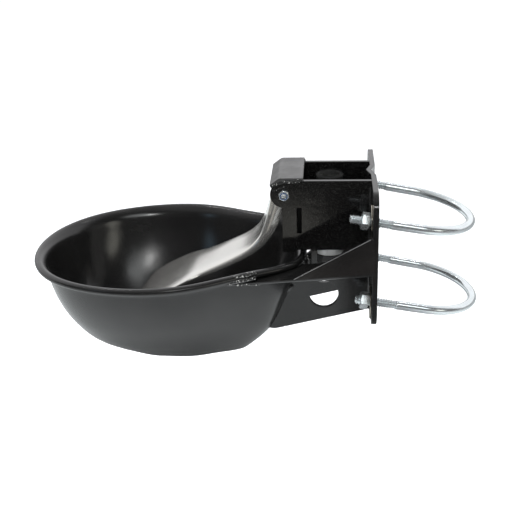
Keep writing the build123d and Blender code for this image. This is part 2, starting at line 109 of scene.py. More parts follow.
def ramp(nt, fac, stops):
    r = nt.nodes.new("ShaderNodeValToRGB")
    el = r.color_ramp.elements
    el[0].position, el[0].color = stops[0][0], stops[0][1]
    el[1].position, el[1].color = stops[-1][0], stops[-1][1]
    for pos, col in stops[1:-1]:
        e = el.new(pos)
        e.color = col
    nt.links.new(fac, r.inputs["Fac"])
    return r.outputs["Color"]


def grey(v, w=None):
    if isinstance(v, (tuple, list)):
        return (v[0], v[1], v[2], 1.0)
    return (v, v, v, 1.0)


def mapr(nt, fac, a, b, c, d):
    m = nt.nodes.new("ShaderNodeMapRange")
    for k, v in (("From Min", a), ("From Max", b), ("To Min", c), ("To Max", d)):
        m.inputs[k].default_value = v
    nt.links.new(fac, m.inputs["Value"])
    return m.outputs["Result"]


def math_node(nt, op, a, b):
    m = nt.nodes.new("ShaderNodeMath")
    m.operation = op
    for i, v in enumerate((a, b)):
        if isinstance(v, (int, float)):
            m.inputs[i].default_value = v
        else:
            nt.links.new(v, m.inputs[i])
    return m.outputs[0]


def bump(nt, height, strength, distance, prev=None):
    b = nt.nodes.new("ShaderNodeBump")
    b.inputs["Strength"].default_value = strength
    b.inputs["Distance"].default_value = distance
    nt.links.new(height, b.inputs["Height"])
    if prev is not None:
        nt.links.new(prev, b.inputs["Normal"])
    return b.outputs["Normal"]


def coord(nt):
    return nt.nodes.new("ShaderNodeTexCoord").outputs["Object"]


def mix_col(nt, fac, a, b):
    m = nt.nodes.new("ShaderNodeMix")
    m.data_type = "RGBA"
    nt.links.new(fac, m.inputs[0])
    nt.links.new(a, m.inputs[6])
    nt.links.new(b, m.inputs[7])
    return m.outputs[2]


def enamel(name, rough=0.13, peel=0.12, grain=0.0, base=0.010, spec=0.5, dust_and_glints=0.0, dust_and_glint_scale=1100.0, dust_and_glint_cut=0.66):
    """Gloss black paint over steel: orange peel, and light specks that stand for dust and for painted glints."""
    m, nt, b = nodes_of(name)
    c = coord(nt)
    cloud = noise(nt, c, 22.0, 5.0, 0.6)
    paint = ramp(nt, cloud, [(0.3, grey((base * 0.75, base * 0.75, base * 0.78))), (0.75, grey((base * 1.5, base * 1.5, base * 1.45)))])
    # light specks mixed into the paint colour: dust, and where large and bright, painted glints
    if dust_and_glints > 0:
        specks = noise(nt, c, dust_and_glint_scale, 1.5, 0.5)
        full = nt.nodes.new("ShaderNodeRGB")
        full.outputs[0].default_value = (dust_and_glints, dust_and_glints, dust_and_glints * 0.95, 1.0)
        paint = mix_col(nt, mapr(nt, specks, dust_and_glint_cut, dust_and_glint_cut + 0.1, 0.0, 1.0), paint, full.outputs[0])
    nt.links.new(paint, b.inputs["Base Color"])
    fine = noise(nt, c, 60.0, 4.0, 0.6)
    nt.links.new(mapr(nt, fine, 0.3, 0.75, rough * 0.8, rough * 1.35), b.inputs["Roughness"])
    b.inputs["Specular IOR Level"].default_value = spec
    peel_h = noise(nt, c, 330.0, 1.5, 0.4)
    wave_h = noise(nt, c, 45.0, 2.0, 0.5)
    n1 = bump(nt, wave_h, peel, 0.0012)
    n2 = bump(nt, peel_h, peel, 0.00025, n1)
    if grain > 0:
        spark = noise(nt, c, 1500.0, 2.0, 0.6)
        n2 = bump(nt, spark, grain, 0.00012, n2)
    nt.links.new(n2, b.inputs["Normal"])
    return m


def zinc(name, rough=0.22, base=(0.74, 0.77, 0.80), metal=0.75):
    m, nt, b = nodes_of(name)
    c = coord(nt)
    b.inputs["Metallic"].default_value = metal
    cloud = noise(nt, c, 40.0, 3.0, 0.5)
    nt.links.new(
        ramp(nt, cloud, [(0.3, grey(tuple(v * 0.95 for v in base))), (0.75, grey(base))]),
        b.inputs["Base Color"],
    )
    fine = noise(nt, c, 90.0, 2.0, 0.5)
    nt.links.new(mapr(nt, fine, 0.3, 0.75, rough * 0.85, rough * 1.2), b.inputs["Roughness"])
    nt.links.new(bump(nt, noise(nt, c, 60.0, 1.0, 0.4), 0.05, 0.0001), b.inputs["Normal"])
    return m


def stainless(name, rough=0.2, base=(0.60, 0.585, 0.56), stretch=(1.0, 40.0, 1.0), strength=0.25):
    """Brushed stainless: fine scratches along one direction, soft mottling."""
    m, nt, b = nodes_of(name)
    c = coord(nt)
    b.inputs["Metallic"].default_value = 0.85
    mp = nt.nodes.new("ShaderNodeMapping")
    mp.inputs["Scale"].default_value = stretch
    nt.links.new(c, mp.inputs["Vector"])
    scratch = noise(nt, mp.outputs["Vector"], 60.0, 6.0, 0.7)
    cloud = noise(nt, c, 26.0, 5.0, 0.6)
    mixed = math_node(nt, "ADD", math_node(nt, "MULTIPLY", scratch, 0.5), math_node(nt, "MULTIPLY", cloud, 0.5))
    nt.links.new(
        ramp(nt, mixed, [(0.32, grey(tuple(v * 0.86 for v in base))), (0.7, grey(base))]),
        b.inputs["Base Color"],
    )
    nt.links.new(mapr(nt, mixed, 0.3, 0.7, rough * 0.75, rough * 1.3), b.inputs["Roughness"])
    nt.links.new(bump(nt, scratch, strength, 0.00006), b.inputs["Normal"])
    return m


def plastic(name, base, rough=0.4):
    m, nt, b = nodes_of(name)
    c = coord(nt)
    cloud = noise(nt, c, 180.0, 3.0, 0.6)
    nt.links.new(
        ramp(nt, cloud, [(0.3, grey(tuple(v * 0.85 for v in base))), (0.75, grey(base))]),
        b.inputs["Base Color"],
    )
    nt.links.new(mapr(nt, cloud, 0.3, 0.75, rough * 0.85, rough * 1.15), b.inputs["Roughness"])
    nt.links.new(bump(nt, noise(nt, c, 900.0, 2.0), 0.2, 0.00006), b.inputs["Normal"])
    return m


M_BOWL = enamel("mat_bowl", rough=0.17, peel=0.08)
M_PLATE = enamel("mat_plate", rough=0.10, peel=0.07, grain=0.04, base=0.008, dust_and_glints=0.03, dust_and_glint_scale=2300.0)
# black paint made darker and duller than the rest: painted shade for the part deep inside the casing
M_RECESS_SHADE = enamel("mat_recess_painted_shade", rough=0.45, peel=0.04, base=0.002, spec=0.15)
# light-grey enamel for the tube on the wings' cut edges: a painted highlight
M_CUT_EDGE_HIGHLIGHT = enamel("mat_cut_edge_painted_highlight", rough=0.3, peel=0.04, base=0.13, spec=0.8)
# lighter enamel for the wings' bevel faces: a painted highlight where the rounded edges catch light
M_BEVEL_HIGHLIGHT = enamel("mat_bevel_painted_highlight", rough=0.28, peel=0.04, base=0.17, spec=0.8)
M_SIDE = enamel("mat_side", rough=0.07, peel=0.07, grain=0.06, base=0.004, dust_and_glints=0.05, dust_and_glint_scale=2300.0, dust_and_glint_cut=0.60)
M_CAP = enamel("mat_cap", rough=0.34, peel=0.04, base=0.045, spec=0.7)
M_WELD = enamel("mat_weld", rough=0.09, peel=0.45, base=0.012, spec=0.9, dust_and_glints=0.03)
# the spatter's bright specks are painted glints on the weld
M_SPAT = enamel("mat_weld_spatter", rough=0.09, peel=0.45, base=0.014, spec=0.9, dust_and_glints=0.5, dust_and_glint_scale=640.0, dust_and_glint_cut=0.60)
M_ZINC = zinc("mat_zinc", rough=0.17, base=(0.79, 0.84, 0.86), metal=0.84)
M_WASH = zinc("mat_zinc_washer", rough=0.14, base=(0.62, 0.58, 0.50), metal=1.0)
M_ZNUT = zinc("mat_zinc_nut", rough=0.24, base=(0.80, 0.85, 0.87), metal=0.82)
M_STEEL = stainless("mat_stainless", rough=0.15, base=(0.73, 0.72, 0.69))
M_NICKEL = zinc("mat_nickel", rough=0.3, base=(0.90, 0.92, 0.91), metal=0.1)
# nickel drawn near black: painted shade for the plug sitting under the wing
M_PLUG_SHADED = zinc("mat_nickel_plug_painted_shade", rough=0.4, base=(0.10, 0.10, 0.10), metal=0.2)
M_WHITE = plastic("mat_white_nylon", (0.78, 0.78, 0.74))
M_BLUE = plastic("mat_blue_nylon", (0.035, 0.085, 0.20), 0.35)
M_RUBBER = plastic("mat_rubber", (0.025, 0.025, 0.025), 0.6)


# ---------------------------------------------------------------------------
# mesh helpers
# ---------------------------------------------------------------------------
def mesh_from(name, verts, faces, mat, smooth=True, angle=40):
    me = bpy.data.meshes.new(name)
    me.from_pydata([tuple(map(float, v)) for v in verts], [], [tuple(map(int, f)) for f in faces])
    bm = bmesh.new()
    bm.from_mesh(me)
    bmesh.ops.recalc_face_normals(bm, faces=bm.faces)
    bm.to_mesh(me)
    bm.free()
    me.shade_smooth() if smooth else None
    if smooth and angle < 180:
        me.set_sharp_from_angle(angle=math.radians(angle))
    ob = bpy.data.objects.new(name, me)
    scene.collection.objects.link(ob)
    me.materials.append(mat)
    return ob


def grid_faces(nr, nc, wrap_c=True, base=0):
    f = []
    for i in range(nr - 1):
        for j in range(nc if wrap_c else nc - 1):
            k = (j + 1) % nc
            f.append((base + i * nc + j, base + i * nc + k, base + (i + 1) * nc + k, base + (i + 1) * nc + j))
    return f


def spline_periodic(pts, n):
    """Closed cubic spline through pts, sampled at n equal steps of its length."""
    pts = np.array(pts, float)
    m = len(pts)
    nxt = np.roll(pts, -1, 0)
    h = np.linalg.norm(nxt - pts, axis=1)
    hp = np.roll(h, 1)
    A = np.zeros((m, m))
    rhs = np.zeros((m, pts.shape[1]))
    for i in range(m):
        A[i, (i - 1) % m] += hp[i]
        A[i, i] += 2 * (hp[i] + h[i])
        A[i, (i + 1) % m] += h[i]
        rhs[i] = 6 * ((nxt[i] - pts[i]) / h[i] - (pts[i] - pts[i - 1]) / hp[i])
    M = np.linalg.solve(A, rhs)
    out = []
    for i in range(m):
        for t in np.linspace(0, 1, 40, endpoint=False):
            a, b = 1 - t, t
            k = (i + 1) % m
            out.append(a * pts[i] + b * pts[k] + ((a**3 - a) * M[i] + (b**3 - b) * M[k]) * h[i] ** 2 / 6)
    out = np.array(out)
    seg = np.linalg.norm(np.roll(out, -1, 0) - out, axis=1)
    s = np.r_[0, np.cumsum(seg)]
    q = np.linspace(0, s[-1], n, endpoint=False)
    closed = np.vstack([out, out[:1]])
    return np.stack([np.interp(q, s, closed[:, c]) for c in range(pts.shape[1])], 1)


def spline_open(xs, ys, xq):
    """Natural cubic spline."""
    xs, ys, xq = map(lambda v: np.array(v, float), (xs, ys, xq))
    n = len(xs)
    h = np.diff(xs)
    A = np.eye(n)
    r = np.zeros(n)
    for i in range(1, n - 1):
        A[i, i - 1], A[i, i], A[i, i + 1] = h[i - 1], 2 * (h[i - 1] + h[i]), h[i]
        r[i] = 6 * ((ys[i + 1] - ys[i]) / h[i] - (ys[i] - ys[i - 1]) / h[i - 1])
    M = np.linalg.solve(A, r)
    k = np.clip(np.searchsorted(xs, xq) - 1, 0, n - 2)
    t = (xq - xs[k]) / h[k]
    a = 1 - t
    return a * ys[k] + t * ys[k + 1] + ((a**3 - a) * M[k] + (t**3 - t) * M[k + 1]) * h[k] ** 2 / 6


def curve3(pts, n):
    pts = np.array(pts, float)
    s = np.r_[0, np.cumsum(np.linalg.norm(np.diff(pts, axis=0), axis=1))]
    q = np.linspace(0, s[-1], n)
    return np.stack([spline_open(s, pts[:, c], q) for c in range(pts.shape[1])], 1)


def tube(name, path, radii, mat, seg=20, bumpf=None, closed_ends=True, angle=180, flat=None):
    """Tube along a path (m); radii per ring or a number; bumpf(i, theta, s) adds to the radius."""
    path = np.array(path, float)
    n = len(path)
    radii = np.full(n, radii) if np.isscalar(radii) else np.array(radii)
    tan = np.gradient(path, axis=0)
    tan /= np.linalg.norm(tan, axis=1)[:, None]
    ref = np.array([0.0, 0.0, 1.0]) if abs(tan[0][2]) < 0.9 else np.array([0.0, 1.0, 0.0])
    s = np.r_[0, np.cumsum(np.linalg.norm(np.diff(path, axis=0), axis=1))]
    verts = []
    u = np.cross(tan[0], ref)
    u /= np.linalg.norm(u)
    for i in range(n):
        u = u - tan[i] * (u @ tan[i])
        u /= np.linalg.norm(u)
        w = np.cross(tan[i], u)
        for j in range(seg):
            th = 2 * math.pi * j / seg
            r = radii[i] + (bumpf(i, th, s[i]) if bumpf else 0.0)
            verts.append(path[i] + r * (math.cos(th) * u + math.sin(th) * w))
    faces = grid_faces(n, seg)
    if closed_ends:
        faces.append(tuple(range(seg))[::-1])
        faces.append(tuple((n - 1) * seg + j for j in range(seg)))
    return mesh_from(name, verts, faces, mat, True, angle)


def apply_mods(ob):
    dg = bpy.context.evaluated_depsgraph_get()
    me = bpy.data.meshes.new_from_object(ob.evaluated_get(dg))
    ob.modifiers.clear()
    old = ob.data
    ob.data = me
    bpy.data.meshes.remove(old)


def refined(node, width, mat, seg=2, angle=30, shape=None, edge=None):
    """A copy of a CAD node with its edges rounded over, standing for that node."""
    src = NODES[node]
    me = src.data.copy()
    bm = bmesh.new()
    bm.from_mesh(me)
    bmesh.ops.remove_doubles(bm, verts=bm.verts, dist=2e-6)
    bmesh.ops.dissolve_limit(bm, angle_limit=math.radians(0.6), verts=bm.verts, edges=bm.edges)
    if shape:
        shape(bm)
    bm.to_mesh(me)
    bm.free()
    ob = bpy.data.objects.new(node + "_skin", me)
    scene.collection.objects.link(ob)
    me.materials.clear()
    me.materials.append(mat)
    for p in me.polygons:
        p.material_index = 0
    md = ob.modifiers.new("bevel", "BEVEL")
    md.width = width
    md.segments = seg
    md.limit_method = "ANGLE"
    md.angle_limit = math.radians(angle)
    md.use_clamp_overlap = True
    if edge is not None:
        me.materials.append(edge)
        md.material = 1
    me.shade_smooth()
    wn = ob.modifiers.new("wn", "WEIGHTED_NORMAL")
    wn.keep_sharp = True
    wn.weight = 80
    apply_mods(ob)
    body = src["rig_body"]
    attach(ob, body)
    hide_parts(node)
    return ob


def repaint(node, mat):
    me = NODES[node].data
    me.materials.clear()
    me.materials.append(mat)
    for p in me.polygons:
        p.material_index = 0


# ---------------------------------------------------------------------------
# bowl: one smooth shell with a rolled lip
# ---------------------------------------------------------------------------
RIM_HALF = [
    (-294.5, 0.0), (-291.3, 26.1), (-281.7, 50.4), (-266.0, 70.7), (-245.7, 85.6),
    (-223.5, 95.0), (-201.1, 99.9), (-179.2, 101.0), (-158.3, 97.9), (-139.2, 90.7),
    (-121.7, 81.2), (-107.1, 73.3), (-90.6, 65.4), (-75.8, 58.0), (-65.0, 49.0),
    (-59.2, 36.5), (-58.3, 19.0), (-58.3, 0.0),
]
RIM = RIM_HALF + [(x, -y) for x, y in RIM_HALF[-2:0:-1]]
SECT = np.array([
    (0.0, 0.960, 0.955, 0.965),
    (6.0, 0.954, 0.937, 0.960),
    (13.0, 0.946, 0.914, 0.951),
    (25.0, 0.928, 0.868, 0.926),
    (40.0, 0.891, 0.796, 0.879),
    (55.0, 0.828, 0.707, 0.832),
    (68.0, 0.746, 0.611, 0.787),
    (80.0, 0.628, 0.505, 0.712),
    (90.0, 0.446, 0.383, 0.630),
    (97.0, 0.301, 0.298, 0.572),
])
RIM_X0, RIM_Z0, TILT, CX = -168.6, 47.3, math.radians(1.29), -184.0
NJ = 144
LOOP = spline_periodic(RIM, NJ)
tj = np.roll(LOOP, -1, 0) - np.roll(LOOP, 1, 0)
tj /= np.linalg.norm(tj, axis=1)[:, None]
NRM = np.stack([-tj[:, 1], tj[:, 0]], 1)


def rim_world(xy, up):
    """In-plane position (shop mm) and height above the rim plane, to metres."""
    lx = xy[:, 0] - RIM_X0
    x = RIM_X0 + lx * math.cos(TILT) - up * math.sin(TILT)
    z = RIM_Z0 + lx * math.sin(TILT) + up * math.cos(TILT)
    return np.stack([(x - 4.5) / 1000, xy[:, 1] / 1000, (z - BASE_Z) / 1000], 1)


def skin_xy(d):
    f = [float(spline_open(SECT[:, 0], SECT[:, k], [d])[0]) for k in (1, 2, 3)]
    u = LOOP[:, 0] - CX
    t = np.clip((u + 45) / 90, 0, 1)
    t = t * t * (3 - 2 * t)
    k = float(np.interp(d, [0, 62, 78, 90, 97], [0.0, -0.006, 0.010, 0.11, 0.175]))
    w = np.clip((u + 8) / 72, 0, 1)
    w = w * w * (3 - 2 * w)
    g = float(np.interp(d, [45, 65, 80, 97], [0.0, 0.010, 0.026, 0.028])) * np.clip((10 - u) / 60, 0, 1)
    return np.stack([CX + u * (f[0] + (f[2] - f[0]) * t) * (1 + g), LOOP[:, 1] * f[1] * (1 + k * w) * (1 + 0.6 * g)], 1)


def bowl_rows():
    rows = []
    def centre_row(k, up, d):
        q = skin_xy(d)
        c = np.array([CX + 6, 0.0])
        return rim_world(c + (q - c) * k, up)
    for k in (0.25, 0.55, 0.8):
        rows.append(centre_row(k, -96.9, 97))
    rows.append(centre_row(0.95, -96.9, 97))
    rows.append(centre_row(0.995, -96.7, 97))
    rows.append(rim_world(skin_xy(96.4), -96.0))
    for d in (94.5, 90, 85, 80, 74, 68, 61, 54, 47, 40, 33, 26, 20, 14.5, 10):
        rows.append(rim_world(skin_xy(d), -d))
    q6 = skin_xy(6.5)
    rows.append(rim_world(q6, -6.5))
    mid = q6 + (LOOP + NRM * -1.2 - q6) * 0.55
    rows.append(rim_world(mid, -4.4))
    for r, v in ((-1.3, -3.35), (1.4, -3.05), (3.2, -2.0), (4.05, 0.0), (3.2, 1.95), (1.4, 2.95), (-0.9, 2.95), (-3.0, 2.0), (-5.0, 0.2)):
        rows.append(rim_world(LOOP + NRM * r, np.full(NJ, v)))
    q = skin_xy(4.0) - NRM * 2.4
    lip = LOOP + NRM * -5.0
    rows.append(rim_world(lip + (q - lip) * 0.75, -2.6))
    for d in (7, 12, 18, 25, 33, 40, 47, 54, 61, 68, 74, 80, 85, 89):
        rows.append(rim_world(skin_xy(d) - NRM * 2.5, -d))
    rows.append(rim_world(skin_xy(93) - NRM * 2.6, -92.6))
    for k in (0.88, 0.7, 0.45, 0.2):
        rows.append(centre_row(k, -94.2, 96))
    return rows


rows = bowl_rows()
verts = np.concatenate(rows)
faces = grid_faces(len(rows), NJ)
c0 = len(verts)
verts = np.vstack([verts, rows[0].mean(0), rows[-1].mean(0)])
for j in range(NJ):
    k = (j + 1) % NJ
    faces.append((c0, k, j))
    faces.append((c0 + 1, (len(rows) - 1) * NJ + j, (len(rows) - 1) * NJ + k))
bowl = mesh_from("bowl_skin", verts, faces, M_BOWL, True, 180)
md = bowl.modifiers.new("sub", "SUBSURF")
md.levels = md.render_levels = 1
apply_mods(bowl)
bowl.data.shade_smooth()
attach(bowl, "bracket")
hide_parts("bowl")

# ---------------------------------------------------------------------------
# sheet parts
# ---------------------------------------------------------------------------
for n in ("side_plate_left", "side_plate_right"):
    refined(n, 0.0004, M_SIDE)
for n in ("strut_left", "strut_right"):
    refined(n, 0.0004, M_PLATE)
refined("back_plate", 0.0007, M_PLATE, 3)
for n in ("wing_left", "wing_right"):
    # the wings' rounded edges take the lighter enamel: a painted highlight along every edge
    refined(n, 0.0006, M_PLATE, edge=M_BEVEL_HIGHLIGHT)
refined("cap_plate", 0.0005, M_CAP, 3)
# the valve carrier takes the darker black: painted shade inside the casing
refined("valve_carrier", 0.0003, M_RECESS_SHADE)
refined("clamp_washers", 0.0004, M_WASH, 3)
refined("valve_body", 0.0004, M_NICKEL)
# the plug takes the near-black nickel: painted shade under the wing
refined("bottom_plug", 0.0005, M_PLUG_SHADED)
refined("spring_cap", 0.0004, M_NICKEL)
refined("valve_lock_nut", 0.0004, M_NICKEL)
refined("hinge_washers", 0.0002, M_WHITE)
for n, m in (("hinge_spacer", M_STEEL), ("valve_seat", M_NICKEL), ("stem_guide", M_WHITE), ("valve_stem", M_STEEL), ("stem_seal", M_RUBBER), ("spring_cap_gasket", M_RUBBER), ("inlet_strainer", M_WHITE), ("plug_gasket", M_RUBBER)):
    repaint(n, m)

# ---------------------------------------------------------------------------
# tongue: pressed sheet, folded flanges with rounded bends, wide blunt paddle
# ---------------------------------------------------------------------------
T_PROF = [
    (-84.3, 100.6), (-88.3, 84.6), (-91.4, 74.5), (-95.2, 65.3), (-101.4, 57.2),
    (-109.5, 50.9), (-120.5, 45.0), (-136.0, 37.6), (-150.5, 31.2), (-157.5, 28.3), (-167.0, 23.8),
    (-181.0, 17.0), (-192.5, 10.8), (-202.5, 3.6), (-211.0, -5.2), (-217.2, -11.8),
]
T_HALF = [
    (-60, 23.5), (-84, 23.5), (-92, 23.5), (-98, 24.2), (-108, 25.8), (-118, 27.0), (-127, 27.8), (-138, 28.4),
    (-148, 29.8), (-156, 32.6), (-163, 34.9), (-169, 36.1), (-176, 36.5), (-184, 36.1), (-191, 35.3),
    (-197, 33.9), (-203, 31.2), (-208, 27.0), (-211.5, 22.4), (-214.3, 16.6), (-216.2, 9.6), (-217.0, 0.6),
]
T_DEPTH = [
    (-84.3, 15.5), (-88.3, 12.4), (-91.4, 10.6), (-95.2, 8.4), (-101.4, 6.8), (-109.5, 5.9), (-120.5, 5.4),
    (-136.0, 4.9), (-148.0, 3.9), (-158.0, 2.6), (-164.0, 2.0), (-217.2, 2.0),
]


def lin(tab, x):
    t = sorted(tab)
    return float(np.interp(x, [p[0] for p in t], [p[1] for p in t]))


def smooth_tab(tab, x):
    t = sorted(tab)
    return float(spline_open([p[0] for p in t], [p[1] for p in t], [x])[0])


def tongue_mesh():
    prof = np.array(T_PROF)
    sl = np.r_[0, np.cumsum(np.linalg.norm(np.diff(prof, axis=0), axis=1))]
    q = np.r_[np.linspace(0, sl[-1] - 16, 110), sl[-1] - 16 * (1 - np.linspace(0, 1, 34)[1:]) ** 1.6]
    px = spline_open(sl, prof[:, 0], q)
    pz = spline_open(sl, prof[:, 1], q)
    tx, tz = np.gradient(px), np.gradient(pz)
    ln = np.hypot(tx, tz)
    tx, tz = tx / ln, tz / ln
    vs, rings = [], 0
    for i in range(len(q)):
        x = px[i]
        w = max(lin(T_HALF, x), 0.4)
        d = lin(T_DEPTH, x)
        ro = min(3.4, 0.8 + (d - 2.0) * 0.8)
        ro = min(ro, w * 0.8)
        ri = max(ro - 2.0, 0.05)
        ins = min(2.0, w * 0.7)
        half = [(0.0, 0.0), (0.5 * (w - ro), 0.0)]
        for k in range(8):
            a = math.pi / 2 * k / 7
            half.append((w - ro + ro * math.sin(a), -ro + ro * math.cos(a)))
        half += [(w, -d + 0.35), (w - 0.35, -d), (w - ins + 0.3, -d)]
        lowest = min(-d, -2.0)
        for k in range(4):
            a = math.pi / 2 * k / 3
            yy = w - ins - ri * (1 - math.cos(a))
            zz = -2.0 - ri + ri * math.sin(a)
            half.append((yy, max(min(zz, -2.0), lowest)))
        half += [(0.5 * (w - ins), -2.0), (0.0, -2.0)]
        sec = [(-y, z) for y, z in half[::-1]][:-1] + half[:-1]
        rings = len(sec)
        # upward side of the web: normal to the left of the travel from hinge to tip
        nx, nz = tz[i], -tx[i]
        for y, z in sec:
            vs.append(V3(px[i] + nx * z, y, pz[i] + nz * z))
    n = len(q)
    faces = grid_faces(n, rings)
    faces.append(tuple(range(rings))[::-1])
    faces.append(tuple((n - 1) * rings + j for j in range(rings)))
    # hinge ears of the flanges
    ear = [(-84.5, 99.6), (-82.6, 104.4), (-80.2, 108.2), (-77.4, 110.7), (-73.2, 111.8), (-69.0, 110.4), (-66.6, 107.3), (-66.0, 101.4), (-70.6, 92.6), (-75.4, 84.6), (-87.0, 84.6)]
    for y0, y1 in ((-23.45, -21.5), (21.5, 23.45)):
        b0 = len(vs)
        for y in (y0, y1):
            for x, z in ear:
                vs.append(V3(x, y, z))
        m = len(ear)
        faces.append(tuple(b0 + j for j in range(m)))
        faces.append(tuple(b0 + m + j for j in range(m))[::-1])
        for j in range(m):
            k = (j + 1) % m
            faces.append((b0 + j, b0 + m + j, b0 + m + k, b0 + k))
    return mesh_from("tongue_skin", vs, faces, M_STEEL, True, 50)


tongue = tongue_mesh()
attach(tongue, "tongue")
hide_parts("tongue")

# ---------------------------------------------------------------------------
# U-bolts with rolled threads
# ---------------------------------------------------------------------------
DROOP = math.radians(10.0)
TOE = math.radians(2.4)
LOOP_R = 48.55


def u_local(h, lx, ly):
    return np.array([
        (lx * math.cos(DROOP) - 4.5) / 1000.0,
        ly / 1000.0,
        (h - lx * math.sin(DROOP) - BASE_Z) / 1000.0,
    ])


def u_bolt(node, h, centre):
    x1 = centre + LOOP_R * math.sin(TOE)
    y1 = LOOP_R * math.cos(TOE)
    xe = centre - 58.3
    ye = y1 + (x1 - xe) * math.tan(TOE)
    pts = []
    leg = math.hypot(x1 - xe, ye - y1)
    n_leg = 330
    for i in range(n_leg):
        t = i / n_leg
        pts.append(u_local(h, xe + (x1 - xe) * t, ye + (y1 - ye) * t))
    for i in range(97):
        a = math.pi / 2 - TOE - (math.pi - 2 * TOE) * i / 96
        pts.append(u_local(h, centre + LOOP_R * math.cos(a), LOOP_R * math.sin(a)))
    for i in range(1, n_leg + 1):
        t = i / n_leg
        pts.append(u_local(h, x1 + (xe - x1) * t, -(y1 + (ye - y1) * t)))
    path = np.array(pts)
    s = np.r_[0, np.cumsum(np.linalg.norm(np.diff(path, axis=0), axis=1))] * 1000
    total = s[-1]
    rad = np.full(len(path), 0.004)
    dist = np.minimum(s, total - s)
    rad -= np.clip(1.0 - dist, 0, 1) * 0.0008

    def thread(i, th, si):
        d = dist[i]
        k = min(max((36.0 - d) / 2.0, 0.0), 1.0)
        ph = s[i] / 2.2 + th / (2 * math.pi)
        return -0.00105 * k * (0.5 - 0.5 * math.cos(2 * math.pi * ph)) ** 0.8

    ob = tube(node + "_rod", path, rad, M_ZINC, 20, thread)
    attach(ob, "bracket")
    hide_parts(node)
    return ob


u_bolt("u_bolt_upper", 88.1, 39.5)
u_bolt("u_bolt_lower", 16.2, 44.9)


# ---------------------------------------------------------------------------
# nuts
# ---------------------------------------------------------------------------
def hex_nut(name, origin, axis, ref, af, t, bore, mat, top_cone=True, bottom_cone=True, spin=0.0, rim_r=0.93):
    """Hexagon nut with turned chamfers, its arcs following from the cone."""
    axis = np.array(axis, float)
    axis /= np.linalg.norm(axis)
    u = np.array(ref, float) - axis * (np.array(ref) @ axis)
    u /= np.linalg.norm(u)
    w = np.cross(axis, u)
    n = 96
    cone_r = af / 2 * rim_r * 1.04
    rows_ = []
    th = np.arange(n) * 2 * math.pi / n
    R = (af / 2) / np.cos((th + math.pi / 6) % (math.pi / 3) - math.pi / 6)
    ct = np.clip(R - cone_r, 0, None) * math.tan(math.radians(28))
    prof = []
    prof.append((np.full(n, bore), np.full(n, 0.35)))
    prof.append((np.full(n, bore + 0.35), np.zeros(n)))
    prof.append((np.full(n, cone_r), np.zeros(n)))
    lowz = ct if bottom_cone else np.zeros(n)
    prof.append((R, lowz))
    hiz = t - (ct if top_cone else 0)
    prof.append((R, hiz * np.ones(n)))
    prof.append((np.full(n, cone_r), np.full(n, t)))
    prof.append((np.full(n, bore + 0.4), np.full(n, t)))
    prof.append((np.full(n, bore), np.full(n, t - 0.4)))
    vs = []
    for r, z in prof:
        for j in range(n):
            a = th[j] + spin
            vs.append(np.array(origin) + (axis * z[j] + (u * math.cos(a) + w * math.sin(a)) * r[j]) / 1000.0)
    f = grid_faces(len(prof), n)
    last = (len(prof) - 1) * n
    for j in range(n):
        k = (j + 1) % n
        f.append((last + j, last + k, k, j))
    return mesh_from(name, vs, f, mat, True, 24)


def leg_frame(h, side, centre, s):
    x1 = centre + LOOP_R * math.sin(TOE)
    y1 = LOOP_R * math.cos(TOE)
    y = y1 + (x1 + s) * math.tan(TOE)
    o = u_local(h, -s, side * y)
    d = u_local(h, -s - math.cos(TOE), side * y + side * math.sin(TOE)) - o
    return o, d / np.linalg.norm(d)


NUT_GAP = 1.2 + (13.0 / 2 / math.cos(math.pi / 6)) * math.tan(DROOP) + 0.05
nuts = []
for tag, h, c in (("upper", 88.1, 39.5), ("lower", 16.2, 44.9)):
    for side, sn in ((-1, "right"), (1, "left")):
        o, d = leg_frame(h, side, c, NUT_GAP)
        nuts.append(hex_nut(f"clamp_nut_{tag}_{sn}", o, d, (0, 0, 1), 13.0, 6.5, 3.6, M_ZNUT, spin=0.0))
for ob in nuts:
    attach(ob, "bracket")
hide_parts("clamp_nuts")

# hinge bolt, lock nut and its ring
hx, hz = -73.2, 104.6
o = V3(hx, -29.0, hz)
ln = hex_nut("hinge_nut_skin", o, (0, -1, 0), (1, 0, 0), 8.2, 3.8, 2.4, M_ZNUT, spin=math.radians(10))
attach(ln, "bracket")
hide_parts("hinge_nut")


def turned(name, origin, axis, prof, mat, seg=48, angle=35):
    """Turned piece from (radius, height) points in mm along an axis."""
    axis = np.array(axis, float)
    axis /= np.linalg.norm(axis)
    ref = np.array([0, 0, 1.0]) if abs(axis[2]) < 0.9 else np.array([1.0, 0, 0])
    u = np.cross(axis, ref)
    u /= np.linalg.norm(u)
    w = np.cross(axis, u)
    vs = []
    for r, z in prof:
        for j in range(seg):
            a = 2 * math.pi * j / seg
            vs.append(np.array(origin) + (axis * z + (u * math.cos(a) + w * math.sin(a)) * max(r, 1e-4)) / 1000.0)
    f = grid_faces(len(prof), seg)
    n = len(prof)
    f.append(tuple(range(seg))[::-1])
    f.append(tuple((n - 1) * seg + j for j in range(seg)))
    return mesh_from(name, vs, f, mat, True, angle)


def ring(name, origin, axis, prof, mat, seg=48, angle=35):
    """Turned ring from a closed (radius, height) outline in mm."""
    axis = np.array(axis, float)
    axis /= np.linalg.norm(axis)
    ref = np.array([0, 0, 1.0]) if abs(axis[2]) < 0.9 else np.array([1.0, 0, 0])
    u = np.cross(axis, ref)
    u /= np.linalg.norm(u)
    w = np.cross(axis, u)
    vs = []
    for r, z in prof:
        for j in range(seg):
            a = 2 * math.pi * j / seg
            vs.append(np.array(origin) + (axis * z + (u * math.cos(a) + w * math.sin(a)) * r) / 1000.0)
    f = grid_faces(len(prof), seg)
    last = (len(prof) - 1) * seg
    for j in range(seg):
        k = (j + 1) % seg
        f.append((last + j, last + k, k, j))
    return mesh_from(name, vs, f, mat, True, angle)


